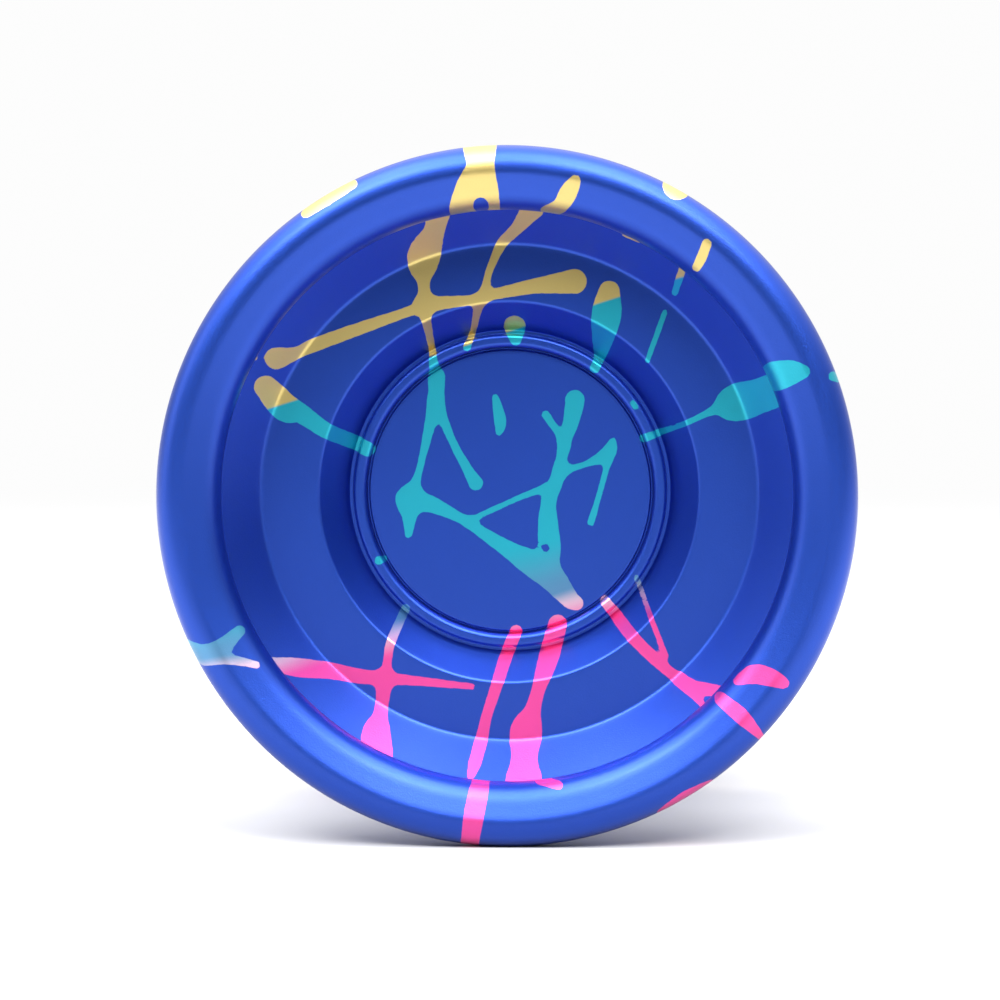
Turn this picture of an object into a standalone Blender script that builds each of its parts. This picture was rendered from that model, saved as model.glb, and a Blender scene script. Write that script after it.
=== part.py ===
"""Ball-bearing yo-yo, as an assembly of its real pieces. Metres, +Z up.

Frame: the origin is the centre of the yo-yo. The axle lies along Y and the front face looks
towards -Y. The rims stand on a level surface at z = -RIM_RADIUS.

A half's outline is given as (radius, reach): radius from the axle and reach from the middle plane
between the halves. The back half reaches towards +Y and the front half towards -Y.
"""

import math

import bmesh
import bpy

MM = 0.001
TURN = 2 * math.pi

# whole yo-yo
RIM_RADIUS = 28.0 * MM
HALF_WIDTH = 22.2 * MM
GAP_REACH = 2.3 * MM            # half of the string gap

# a half's outer face: radii, and how far each surface lies behind the rim's foremost plane
BEAD_INNER_RADIUS = 11.65 * MM
BEAD_OUTER_RADIUS = 12.8 * MM
FOOT_RADIUS = 13.1 * MM         # where the slope starts, outside the bead
SLOPE_TOP_RADIUS = 15.45 * MM
PLATEAU_RADIUS = 20.15 * MM
UNDERCUT_RADIUS = 23.3 * MM     # where the wall ends, behind the lip
LIP_RADIUS = 22.87 * MM
CROWN_RADIUS = 25.82 * MM
DISC_DEPTH = 11.2 * MM
FOOT_DEPTH = 11.1 * MM
BEAD_DEPTH = 10.4 * MM
PLATEAU_DEPTH = 8.3 * MM
WALL_TOP_DEPTH = 5.0 * MM
UNDERCUT_DEPTH = 3.4 * MM
LIP_EDGE_DEPTH = 2.7 * MM
LIP_DEPTH = 1.07 * MM
BEAD_ROUNDING = 0.35 * MM
SLOPE_TOP_ROUNDING = 0.4 * MM
WALL_FOOT_ROUNDING = 0.5 * MM
LIP_ROUNDING = 2.1 * MM
CROWN_ROUNDING = 1.2 * MM
RIM_ROUNDING = 1.85 * MM

# a half's catch wall, which guides the string: radii, reaches and roundings of its two bends
RIM_EDGE_REACH = HALF_WIDTH - 2.9 * MM
RIM_EDGE_ROUNDING = 0.9 * MM
CATCH_BEND_RADIUS = 20.6 * MM
CATCH_BEND_REACH = 12.1 * MM
CATCH_BEND_ROUNDING = 20.0 * MM
THROAT_RADIUS = 12.4 * MM
THROAT_REACH = 5.6 * MM
THROAT_ROUNDING = 5.0 * MM
GAP_EDGE_RADIUS = 10.4 * MM
GAP_EDGE_ROUNDING = 1.2 * MM

# size-C ball bearing
BEARING_BORE_RADIUS = 3.175 * MM
BEARING_OUTER_RADIUS = 6.35 * MM
BEARING_REACH = 2.38125 * MM    # half of the bearing's width
PITCH_RADIUS = 4.7625 * MM
BALL_RADIUS = 0.79375 * MM
BALL_COUNT = 10
ROLLING_GAP = 0.05 * MM         # between the balls and what they roll in
RACE_ROUNDING = 0.25 * MM
INNER_LAND_RADIUS = 4.2 * MM
INNER_SHOULDER_RADIUS = 3.95 * MM
OUTER_LAND_RADIUS = 5.33 * MM
SHIELD_POCKET_RADIUS = 5.75 * MM
SHIELD_REACH = 1.88 * MM        # a shield's inner face

# axle
AXLE_RADIUS = 2.0 * MM
AXLE_REACH = 7.6 * MM
AXLE_CHAMFER = 0.35 * MM
SOCKET_RADIUS = 1.15 * MM       # across the corners of a 2 mm hex key
SOCKET_DEPTH = 2.4 * MM
BORE_RADIUS = 2.3 * MM
BORE_REACH = 8.0 * MM

# what the halves have around the bearing
REST_GAP = 0.3 * MM             # between pieces that touch on the real object
POST_RADIUS = 2.95 * MM
POST_REACH = 0.35 * MM
SEAT_RADIUS = 3.9 * MM
WELL_RADIUS = 6.75 * MM
WELL_REACH = 3.05 * MM
PAD_INNER_RADIUS = 7.4 * MM
PAD_OUTER_RADIUS = 9.5 * MM
PAD_FLOOR_REACH = 3.6 * MM
PAD_SIDE_GAP = 0.1 * MM

HALF_STEPS = 40
BEARING_STEPS = 28
SMALL_STEPS = 20


def clear_scene():
    for thing in list(bpy.data.objects):
        bpy.data.objects.remove(thing, do_unlink=True)


def material(name, colour, metallic, roughness):
    """A plain Principled material."""
    made = bpy.data.materials.new(name)
    made.use_nodes = True
    shader = made.node_tree.nodes["Principled BSDF"]
    shader.inputs["Base Color"].default_value = (*colour, 1.0)
    shader.inputs["Metallic"].default_value = metallic
    shader.inputs["Roughness"].default_value = roughness
    made.diffuse_color = (*colour, 1.0)
    return made


def anodised_blue(name):
    return material(name, (0.025, 0.08, 0.45), 1.0, 0.38)


def steel(name):
    return material(name, (0.62, 0.62, 0.64), 1.0, 0.25)


def silicone(name):
    return material(name, (0.85, 0.86, 0.88), 0.0, 0.6)


def rounded(corners, arc_step=math.radians(28)):
    """Outline through corners (radius, reach, rounding), with an arc in place of each rounded one."""
    points = []
    count = len(corners)
    for i, (x, y, rounding) in enumerate(corners):
        if not rounding:
            points.append((x, y))
            continue
        before = corners[i - 1]
        after = corners[(i + 1) % count]
        back = math.atan2(before[1] - y, before[0] - x)
        ahead = math.atan2(after[1] - y, after[0] - x)
        opening = (ahead - back + math.pi) % TURN - math.pi
        middle = back + opening / 2
        half = abs(opening) / 2
        centre_x = x + rounding / math.sin(half) * math.cos(middle)
        centre_y = y + rounding / math.sin(half) * math.sin(middle)
        swept = math.pi - 2 * half
        steps = max(1, round(swept / arc_step))
        side = 1 if opening > 0 else -1
        for k in range(steps + 1):
            angle = middle + math.pi + side * swept * (0.5 - k / steps)
            points.append((centre_x + rounding * math.cos(angle), centre_y + rounding * math.sin(angle)))
    return points


def turned_mesh(name, outline, steps, swept=TURN):
    """Mesh of an outline of (radius, y) turned about the Y axis. A part turn gets end faces."""
    whole = swept >= TURN
    mesh_maker = bmesh.new()
    centre_verts = {
        i: mesh_maker.verts.new((0.0, y, 0.0)) for i, (radius, y) in enumerate(outline) if radius == 0.0
    }
    sections = []
    for k in range(steps if whole else steps + 1):
        angle = (k + 0.5) * swept / steps
        section = []
        for i, (radius, y) in enumerate(outline):
            place = (radius * math.sin(angle), y, radius * math.cos(angle))
            section.append(centre_verts[i] if i in centre_verts else mesh_maker.verts.new(place))
        sections.append(section)
    for k in range(steps):
        here, there = sections[k], sections[(k + 1) % len(sections)]
        for i in range(len(outline)):
            j = (i + 1) % len(outline)
            corners = list(dict.fromkeys((here[i], here[j], there[j], there[i])))
            if len(corners) > 2:
                mesh_maker.faces.new(corners)
    if not whole:
        mesh_maker.faces.new(sections[0])
        mesh_maker.faces.new(sections[-1])
    return finished_mesh(mesh_maker, name)


def finished_mesh(mesh_maker, name, sharp_angle=math.radians(30)):
    bmesh.ops.recalc_face_normals(mesh_maker, faces=mesh_maker.faces)
    mesh = bpy.data.meshes.new(name)
    mesh_maker.to_mesh(mesh)
    mesh_maker.free()
    mesh.shade_smooth()
    mesh.set_sharp_from_angle(angle=sharp_angle)
    return mesh


def place(name, mesh, surface, parent=None, location=(0.0, 0.0, 0.0)):
    made = bpy.data.objects.new(name, mesh)
    bpy.context.scene.collection.objects.link(made)
    made.location = location
    made.parent = parent
    mesh.materials.clear()
    mesh.materials.append(surface)
    return made


def joint_empty(name, parent=None):
    """Empty on the axle's line that carries what turns or slides together."""
    made = bpy.data.objects.new(name, None)
    bpy.context.scene.collection.objects.link(made)
    made.empty_display_size = 0.01
    made.parent = parent
    return made


def cup_side():
    """Corners of a half's outer face, from the hub's centre to the undercut behind the lip."""
    edge = 0.12 * MM
    return [
        (0.0, HALF_WIDTH - DISC_DEPTH, 0.0),
        (BEAD_INNER_RADIUS, HALF_WIDTH - DISC_DEPTH, 0.0),
        (BEAD_INNER_RADIUS + edge, HALF_WIDTH - BEAD_DEPTH, BEAD_ROUNDING),
        (BEAD_OUTER_RADIUS - edge / 2, HALF_WIDTH - BEAD_DEPTH, BEAD_ROUNDING),
        (BEAD_OUTER_RADIUS, HALF_WIDTH - FOOT_DEPTH, 0.0),
        (FOOT_RADIUS, HALF_WIDTH - FOOT_DEPTH, 0.0),
        (SLOPE_TOP_RADIUS, HALF_WIDTH - PLATEAU_DEPTH, SLOPE_TOP_ROUNDING),
        (PLATEAU_RADIUS, HALF_WIDTH - PLATEAU_DEPTH, WALL_FOOT_ROUNDING),
        (UNDERCUT_RADIUS, HALF_WIDTH - WALL_TOP_DEPTH, 0.0),
        (UNDERCUT_RADIUS, HALF_WIDTH - UNDERCUT_DEPTH, 0.0),
    ]


def rim_and_string_side():
    """Corners of a half from its lip, over the rim and down the catch wall to the axle bore's end."""
    return [
        (LIP_RADIUS, HALF_WIDTH - LIP_EDGE_DEPTH, 0.0),
        (LIP_RADIUS, HALF_WIDTH - LIP_DEPTH, LIP_ROUNDING),
        (CROWN_RADIUS, HALF_WIDTH, CROWN_ROUNDING),
        (RIM_RADIUS, HALF_WIDTH, RIM_ROUNDING),
        (RIM_RADIUS, RIM_EDGE_REACH, RIM_EDGE_ROUNDING),
        (CATCH_BEND_RADIUS, CATCH_BEND_REACH, CATCH_BEND_ROUNDING),
        (THROAT_RADIUS, THROAT_REACH, THROAT_ROUNDING),
        (GAP_EDGE_RADIUS, GAP_REACH, GAP_EDGE_ROUNDING),
        (PAD_OUTER_RADIUS + PAD_SIDE_GAP, GAP_REACH, 0.0),
        (PAD_OUTER_RADIUS + PAD_SIDE_GAP, PAD_FLOOR_REACH, 0.0),
        (PAD_INNER_RADIUS - PAD_SIDE_GAP, PAD_FLOOR_REACH, 0.0),
        (PAD_INNER_RADIUS - PAD_SIDE_GAP, GAP_REACH, 0.0),
        (WELL_RADIUS, GAP_REACH, 0.0),
        (WELL_RADIUS, WELL_REACH, 0.0),
        (SEAT_RADIUS, WELL_REACH, 0.0),
        (SEAT_RADIUS, BEARING_REACH + REST_GAP, 0.0),
        (POST_RADIUS, BEARING_REACH + REST_GAP, 0.0),
        (POST_RADIUS, POST_REACH, 0.0),
        (BORE_RADIUS, POST_REACH, 0.0),
        (BORE_RADIUS, BORE_REACH, 0.0),
        (0.0, BORE_REACH + BORE_RADIUS * math.tan(math.radians(30)), 0.0),
    ]


def half_mesh(name, side):
    """A half's mesh. side is 1 for the back half and -1 for the front half."""
    outline = rounded(cup_side() + rim_and_string_side())
    return turned_mesh(name, [(radius, side * reach) for radius, reach in outline], HALF_STEPS)


def pad_mesh(name, side):
    face = GAP_REACH
    back = PAD_FLOOR_REACH - REST_GAP
    outline = rounded([
        (PAD_INNER_RADIUS, back, 0.0),
        (PAD_OUTER_RADIUS, back, 0.0),
        (PAD_OUTER_RADIUS, face, 0.15 * MM),
        (PAD_INNER_RADIUS, face, 0.15 * MM),
    ], math.radians(45))
    return turned_mesh(name, [(radius, side * reach) for radius, reach in outline], HALF_STEPS)


def race_groove(land_radius, inwards):
    """Corners of the ball groove in a race's land, from -Y to +Y. inwards is 1 on the inner race."""
    groove = BALL_RADIUS + ROLLING_GAP
    edge = math.asin((PITCH_RADIUS - land_radius) * inwards / groove)
    steps = 4
    corners = []
    for k in range(steps + 1):
        angle = edge + (math.pi - 2 * edge) * k / steps
        radius = PITCH_RADIUS - inwards * groove * math.sin(angle)
        corners.append((radius, -groove * math.cos(angle), 0.0))
    return corners


def race_mesh(name, wall_radius, shield_radius, land_radius, inwards):
    """A race, from its plain wall to its stepped side with the shields' places and the groove."""
    outline = rounded([
        (wall_radius, BEARING_REACH, RACE_ROUNDING),
        (wall_radius, -BEARING_REACH, RACE_ROUNDING),
        (shield_radius, -BEARING_REACH, 0.0),
        (shield_radius, -SHIELD_REACH, 0.0),
        (land_radius, -SHIELD_REACH, 0.0),
        *race_groove(land_radius, inwards),
        (land_radius, SHIELD_REACH, 0.0),
        (shield_radius, SHIELD_REACH, 0.0),
        (shield_radius, BEARING_REACH, 0.0),
    ], math.radians(45))
    return turned_mesh(name, outline, BEARING_STEPS)


def cage_mesh():
    """Crown cage: a ring with one slightly flared pocket for each ball, open towards -Y."""
    inner, outer = 4.42 * MM, 5.1 * MM
    back, finger_end = 1.3 * MM, -0.45 * MM
    pocket = BALL_RADIUS + 0.09 * MM
    pocket_angle = pocket / PITCH_RADIUS
    flare = 1.05
    pocket_steps = 5
    edge = []
    for ball in range(BALL_COUNT):
        middle = TURN * ball / BALL_COUNT
        edge.append((middle - flare * pocket_angle, finger_end))
        for k in range(pocket_steps + 1):
            turn = math.pi * (1 - k / pocket_steps)
            edge.append((middle + pocket_angle * math.cos(turn), pocket * math.sin(turn)))
        edge.append((middle + flare * pocket_angle, finger_end))
    mesh_maker = bmesh.new()
    sections = []
    for angle, low in edge:
        corners = ((inner, low), (outer, low), (outer, back), (inner, back))
        sections.append([
            mesh_maker.verts.new((radius * math.sin(angle), y, radius * math.cos(angle)))
            for radius, y in corners
        ])
    for k, here in enumerate(sections):
        there = sections[(k + 1) % len(sections)]
        for i in range(4):
            j = (i + 1) % 4
            mesh_maker.faces.new((here[i], here[j], there[j], there[i]))
    return finished_mesh(mesh_maker, "bearing_cage")


def shield_mesh(name, side):
    inner, outer, thickness = 4.1 * MM, 5.65 * MM, 0.15 * MM
    near = SHIELD_REACH + 0.03 * MM
    outline = [(inner, near), (outer, near), (outer, near + thickness), (inner, near + thickness)]
    return turned_mesh(name, [(radius, side * reach) for radius, reach in outline], BEARING_STEPS)


def snap_ring_mesh(name, side):
    inner, outer, thickness = 5.35 * MM, 5.68 * MM, 0.2 * MM
    near = SHIELD_REACH + 0.22 * MM
    outline = [(inner, near), (outer, near), (outer, near + thickness), (inner, near + thickness)]
    outline = [(radius, side * reach) for radius, reach in outline]
    return turned_mesh(name, outline, BEARING_STEPS - 4, TURN * 0.93)


def ball_mesh():
    mesh_maker = bmesh.new()
    bmesh.ops.create_icosphere(mesh_maker, subdivisions=2, radius=BALL_RADIUS)
    return finished_mesh(mesh_maker, "ball", math.pi)


def socket_cutter(side, parent):
    """Hex key socket's shape at one end of the axle."""
    mesh_maker = bmesh.new()
    depth = SOCKET_DEPTH + 1.0 * MM
    bmesh.ops.create_cone(
        mesh_maker, cap_ends=True, segments=6, radius1=SOCKET_RADIUS, radius2=SOCKET_RADIUS, depth=depth
    )
    mesh = bpy.data.meshes.new("socket_cutter")
    mesh_maker.to_mesh(mesh)
    mesh_maker.free()
    cutter = bpy.data.objects.new("socket_cutter", mesh)
    bpy.context.scene.collection.objects.link(cutter)
    cutter.rotation_euler = (math.pi / 2, 0.0, 0.0)
    cutter.location = (0.0, side * (AXLE_REACH - SOCKET_DEPTH + depth / 2), 0.0)
    cutter.parent = parent
    cutter.hide_render = True
    cutter.display_type = "WIRE"
    return cutter


def make_axle(parent):
    outline = [
        (0.0, -AXLE_REACH),
        (AXLE_RADIUS - AXLE_CHAMFER, -AXLE_REACH),
        (AXLE_RADIUS, -AXLE_REACH + AXLE_CHAMFER),
        (AXLE_RADIUS, AXLE_REACH - AXLE_CHAMFER),
        (AXLE_RADIUS - AXLE_CHAMFER, AXLE_REACH),
        (0.0, AXLE_REACH),
    ]
    axle = place("axle", turned_mesh("axle", outline, SMALL_STEPS), steel("axle_steel"), parent)
    for side in (-1, 1):
        cut = axle.modifiers.new("hex_socket", "BOOLEAN")
        cut.operation = "DIFFERENCE"
        cut.object = socket_cutter(side, parent)
    return axle


def make_bearing(fixed, turning, caged):
    inner_race = race_mesh(
        "bearing_inner_race", BEARING_BORE_RADIUS, INNER_SHOULDER_RADIUS, INNER_LAND_RADIUS, 1
    )
    outer_race = race_mesh(
        "bearing_outer_race", BEARING_OUTER_RADIUS, SHIELD_POCKET_RADIUS, OUTER_LAND_RADIUS, -1
    )
    place("bearing_inner_race", inner_race, steel("inner_race_steel"), fixed)
    place("bearing_outer_race", outer_race, steel("outer_race_steel"), turning)
    place("bearing_cage", cage_mesh(), material("cage_polymer", (0.05, 0.05, 0.055), 0.0, 0.5), caged)
    for word, side in (("front", -1), ("back", 1)):
        shield = shield_mesh(f"{word}_shield", side)
        place(f"{word}_shield", shield, steel(f"{word}_shield_steel"), turning)
        snap_ring = snap_ring_mesh(f"{word}_snap_ring", side)
        place(f"{word}_snap_ring", snap_ring, steel(f"{word}_snap_ring_steel"), turning)
    for ball in range(BALL_COUNT):
        name = f"ball_{ball + 1:02d}"
        angle = TURN * ball / BALL_COUNT
        centre = (PITCH_RADIUS * math.sin(angle), 0.0, PITCH_RADIUS * math.cos(angle))
        place(name, ball_mesh(), steel(f"{name}_steel"), caged, centre)


def build():
    clear_scene()
    back = joint_empty("back_half_frame")
    slide = joint_empty("front_slide", back)
    screw = joint_empty("front_screw", slide)
    turning = joint_empty("outer_race_axis", back)
    caged = joint_empty("cage_axis", back)
    place("back_half", half_mesh("back_half", 1), anodised_blue("back_anodising"), back)
    place("front_half", half_mesh("front_half", -1), anodised_blue("front_anodising"), screw)
    place("back_response_pad", pad_mesh("back_response_pad", 1), silicone("back_pad_silicone"), back)
    place("front_response_pad", pad_mesh("front_response_pad", -1), silicone("front_pad_silicone"), slide)
    make_axle(back)
    make_bearing(back, turning, caged)


build()
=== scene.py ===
"""Looks of the ball-bearing yo-yo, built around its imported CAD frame. Metres, +Z up.

The axle lies along Y, the front face looks towards -Y and the rims stand on the floor. Every turned
piece is an outline of (radius, reach): radius from the axle, and reach from the middle plane between
the halves, towards the piece's own side.
"""

import math
from collections import namedtuple

import bpy
import numpy as np
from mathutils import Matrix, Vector


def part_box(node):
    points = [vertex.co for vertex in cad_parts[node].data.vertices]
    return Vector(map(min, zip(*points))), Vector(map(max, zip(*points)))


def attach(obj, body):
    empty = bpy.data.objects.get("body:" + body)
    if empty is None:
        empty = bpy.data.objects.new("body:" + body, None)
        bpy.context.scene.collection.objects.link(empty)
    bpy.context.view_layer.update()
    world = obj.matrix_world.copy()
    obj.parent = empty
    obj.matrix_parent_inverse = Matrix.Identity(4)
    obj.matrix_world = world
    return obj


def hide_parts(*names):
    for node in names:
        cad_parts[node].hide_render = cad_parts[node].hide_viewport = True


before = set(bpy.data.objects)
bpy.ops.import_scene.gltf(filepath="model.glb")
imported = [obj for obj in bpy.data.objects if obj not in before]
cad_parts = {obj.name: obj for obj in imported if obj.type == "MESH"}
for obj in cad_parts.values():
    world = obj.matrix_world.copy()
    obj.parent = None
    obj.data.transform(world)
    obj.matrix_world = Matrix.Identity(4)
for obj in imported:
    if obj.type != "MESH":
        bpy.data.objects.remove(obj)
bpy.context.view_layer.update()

MM = 0.001
TURN = 2 * math.pi
TINY = 1e-7

# ---------------------------------------------------------------- sizes

HALF_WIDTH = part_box("back_half")[1].y
RIM_RADIUS = 28.0 * MM

# a half's outer face: radii, and how far each surface lies behind the rim's foremost plane
BEAD_INNER_RADIUS = 11.65 * MM
BEAD_OUTER_RADIUS = 12.8 * MM
FOOT_RADIUS = 13.1 * MM         # where the slope starts, outside the bead
SLOPE_TOP_RADIUS = 15.45 * MM
PLATEAU_RADIUS = 20.15 * MM
UNDERCUT_RADIUS = 23.3 * MM     # where the wall ends, behind the lip
LIP_RADIUS = 22.87 * MM
CROWN_RADIUS = 25.82 * MM
DISC_DEPTH = 11.2 * MM
FOOT_DEPTH = 11.1 * MM
BEAD_DEPTH = 10.4 * MM
PLATEAU_DEPTH = 8.3 * MM
WALL_TOP_DEPTH = 5.0 * MM
UNDERCUT_DEPTH = 3.4 * MM
LIP_EDGE_DEPTH = 2.7 * MM
LIP_DEPTH = 1.07 * MM

# the bead, and the fine groove between it and the hub disc
GROOVE_WIDTH = 0.22 * MM
GROOVE_FLOOR_WIDTH = 0.15 * MM
GROOVE_DEPTH = 0.3 * MM
BEAD_INNER_LEAN = 0.12 * MM
BEAD_OUTER_LEAN = 0.05 * MM
BEAD_INNER_ROUNDING = 0.42 * MM
BEAD_OUTER_ROUNDING = 0.32 * MM

# roundings from the disc's edge outwards to the rim
DISC_EDGE_ROUNDING = 0.04 * MM
GROOVE_ROUNDING = 0.05 * MM
BEAD_FOOT_ROUNDING = 0.06 * MM
SLOPE_FOOT_ROUNDING = 0.1 * MM
SLOPE_TOP_ROUNDING = 0.4 * MM
WALL_FOOT_ROUNDING = 0.5 * MM
UNDERCUT_ROUNDING = 0.2 * MM
LIP_EDGE_ROUNDING = 0.15 * MM
LIP_ROUNDING = 2.1 * MM
CROWN_ROUNDING = 1.2 * MM
RIM_ROUNDING = 1.85 * MM

# a half's catch wall, which guides the string
RIM_EDGE_REACH = HALF_WIDTH - 2.9 * MM
RIM_EDGE_ROUNDING = 0.9 * MM
CATCH_BEND_RADIUS = 20.6 * MM
CATCH_BEND_REACH = 12.1 * MM
CATCH_BEND_ROUNDING = 20.0 * MM
THROAT_RADIUS = 12.4 * MM
THROAT_REACH = 5.6 * MM
THROAT_ROUNDING = 5.0 * MM
GAP_EDGE_RADIUS = 10.4 * MM
GAP_EDGE_ROUNDING = 1.2 * MM

# what a half has around the bearing
POST_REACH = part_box("back_half")[0].y
POST_RADIUS = 3.0 * MM
GAP_REACH = POST_REACH + 1.95 * MM      # half of the string gap
PAD_GROOVE_OUTER_RADIUS = 9.6 * MM
PAD_GROOVE_INNER_RADIUS = 7.3 * MM
PAD_FLOOR_REACH = 3.6 * MM
PAD_SIDE_GAP = 0.06 * MM
PAD_BACK_GAP = 0.2 * MM
PAD_SINK = 0.02 * MM            # how far the pad's face lies below the groove's edges
WELL_RADIUS = 6.75 * MM
WELL_REACH = 3.05 * MM
SEAT_RADIUS = 3.9 * MM
SEAT_GAP = 0.2 * MM
BORE_RADIUS = 2.2 * MM
BORE_REACH = 8.0 * MM
BORE_TIP_REACH = 9.3 * MM

# size-C ball bearing
BEARING_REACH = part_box("bearing_outer_race")[1].y
BEARING_BORE_RADIUS = 3.175 * MM
BEARING_OUTER_RADIUS = 6.35 * MM
PITCH_RADIUS = 4.7625 * MM
BALL_RADIUS = 0.79375 * MM
BALL_COUNT = 10
ROLLING_GAP = 0.03 * MM         # between the balls and what they roll in
RACE_ROUNDING = 0.28 * MM
INNER_LAND_RADIUS = 4.2 * MM
INNER_SHOULDER_RADIUS = 3.95 * MM
OUTER_LAND_RADIUS = 5.33 * MM
SHIELD_POCKET_RADIUS = 5.75 * MM
SHIELD_POCKET_REACH = 1.88 * MM

# axle
AXLE_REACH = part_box("axle")[1].y
AXLE_RADIUS = 2.0 * MM
AXLE_CHAMFER = 0.4 * MM
THREAD_PITCH = 0.7 * MM
THREAD_DEPTH = 0.38 * MM
SOCKET_RADIUS = 1.15 * MM       # across the corners of a 2 mm hex key
SOCKET_DEPTH = 2.4 * MM
SOCKET_CONE = 0.5 * MM
SOCKET_CHAMFER = 0.12 * MM


# ---------------------------------------------------------------- splashes of dye
# A streak is a run of (x, z, half width) in millimetres, seen from the front with the face upright.
# Places further out than the rim's radius wrap over the rim and down the catch wall.

CUP_STREAKS = [
    # gold, top: the wide streak, the long level one and the one that leans
    [(-5.6, 23.2, 1.2), (-5.9, 21.3, 0.8), (-6.9, 19.0, 1.3), (-6.9, 17.0, 0.5), (-6.8, 15.3, 0.6),
     (-6.7, 14.0, 0.4), (-6.4, 12.0, 0.28), (-6.2, 10.4, 0.36)],
    [(-18.7, 10.9, 0.9), (-17.2, 11.3, 0.5), (-15.6, 12.0, 0.55), (-12.0, 13.3, 0.5), (-8.0, 14.7, 0.4),
     (-6.8, 15.2, 0.6), (-3.0, 15.6, 0.4), (-1.0, 16.1, 0.45), (2.0, 16.7, 0.6), (5.3, 17.1, 1.0)],
    [(2.0, 23.0, 0.9), (0.7, 21.4, 0.5), (-0.6, 20.1, 0.42), (-1.6, 17.9, 0.28), (-2.0, 16.2, 0.35),
     (-2.6, 14.6, 0.32), (-3.0, 13.0, 0.24), (-3.5, 11.7, 0.32)],
    [(0.4, 13.4, 0.9), (0.5, 12.3, 0.45)],
    [(8.1, 16.3, 0.85), (7.9, 14.5, 1.2), (7.6, 12.6, 0.9), (7.3, 10.9, 0.45), (6.9, 10.0, 0.4)],
    [(14.0, 18.1, 0.3), (13.4, 16.2, 0.26)],
    [(12.6, 14.6, 0.22), (11.2, 10.7, 0.2)],
    [(10.6, 20.5, 0.28), (9.4, 20.9, 0.22)],
    # teal, middle band of the cup
    [(10.9, 4.3, 0.35), (14.0, 5.5, 0.22), (16.6, 6.7, 0.4), (18.4, 7.3, 1.5), (20.2, 7.9, 1.4),
     (22.6, 9.0, 1.4)],
    [(-19.6, 8.6, 0.9), (-18.2, 6.9, 1.15), (-16.9, 6.4, 0.8), (-15.0, 5.1, 0.65), (-13.0, 4.1, 0.6),
     (-11.6, 3.4, 0.6)],
    [(-20.7, 11.4, 0.35), (-20.4, 11.0, 0.25)],
    [(10.0, 7.2, 0.24), (10.3, 6.8, 0.22)],
    [(-10.7, -5.7, 0.36), (-10.3, -5.6, 0.25)],
    # teal, hub disc
    [(-6.0, 9.3, 0.7), (-6.1, 7.4, 0.62), (-7.0, 3.4, 0.32), (-7.6, 1.0, 0.34), (-8.2, -0.6, 0.95)],
    [(-6.0, 7.3, 0.45), (-4.7, 4.0, 0.32), (-3.4, 1.6, 0.42), (-2.8, 0.6, 0.6)],
    [(-1.2, 7.6, 0.28), (-0.8, 5.7, 0.5), (-0.9, 4.7, 0.24)],
    [(-8.3, -0.8, 0.95), (-6.6, -1.1, 0.7), (-4.0, -2.3, 0.4), (-2.5, -3.3, 0.45), (0.0, -4.9, 0.7),
     (1.5, -5.8, 1.0), (3.2, -6.9, 1.1), (4.8, -8.8, 0.75), (5.4, -9.2, 0.6)],
    [(-8.2, -1.6, 0.7), (-8.3, -3.6, 0.3)],
    [(-3.4, -2.5, 0.22), (0.5, -0.7, 0.22), (2.8, 0.2, 0.3)],
    [(5.3, 7.4, 0.8), (5.0, 5.7, 0.65), (4.4, 3.6, 0.42), (3.9, 1.2, 0.55), (3.2, -0.8, 0.6),
     (3.1, -2.6, 0.8), (3.2, -4.8, 0.95), (2.8, -6.2, 1.0)],
    [(2.9, 6.2, 0.34), (3.9, 4.7, 0.26), (4.4, 3.6, 0.3)],
    [(4.2, 1.6, 0.36), (6.0, 2.1, 0.24), (7.4, 2.7, 0.45), (8.1, 3.2, 0.6), (8.4, 4.1, 0.24)],
    [(8.0, 2.3, 0.24), (7.2, -0.6, 0.22), (6.6, -2.6, 0.3)],
    # pink, bottom: the crossing streaks, the two falling ones and the fork
    [(-8.5, -9.6, 0.35), (-9.6, -12.2, 0.38), (-9.9, -14.0, 0.35), (-10.1, -15.2, 0.6),
     (-10.4, -17.9, 0.55), (-10.7, -19.6, 1.15), (-10.2, -21.0, 0.9), (-9.9, -21.9, 0.5)],
    [(-20.6, -13.3, 0.3), (-18.8, -13.7, 0.5), (-17.0, -14.1, 0.72), (-14.5, -14.5, 0.62),
     (-12.0, -15.0, 0.6), (-8.0, -15.3, 0.4), (-5.0, -15.6, 0.3), (-3.0, -15.8, 0.24)],
    [(0.5, -11.5, 0.5), (-0.3, -13.5, 0.52), (-1.0, -15.7, 0.48), (-1.8, -18.2, 0.42),
     (-2.2, -20.0, 0.5), (-2.7, -21.8, 0.5), (-3.0, -22.8, 0.26)],
    [(3.9, -10.9, 0.75), (3.2, -13.5, 0.82), (2.4, -16.0, 0.55), (1.9, -17.8, 0.7), (1.4, -19.5, 1.3),
     (1.3, -21.5, 1.05), (1.3, -23.2, 1.5)],
    [(7.8, -9.0, 0.42), (9.3, -10.9, 0.52), (11.5, -13.2, 0.48), (13.5, -14.9, 0.45),
     (15.0, -15.6, 0.5), (17.4, -15.8, 0.42)],
    [(14.0, -15.2, 0.35), (15.8, -17.0, 0.24)],
    [(10.3, -7.0, 0.2), (12.7, -13.2, 0.22)],
]
CUP_HOLES = [(2.9, -4.7, 0.34)]

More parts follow.
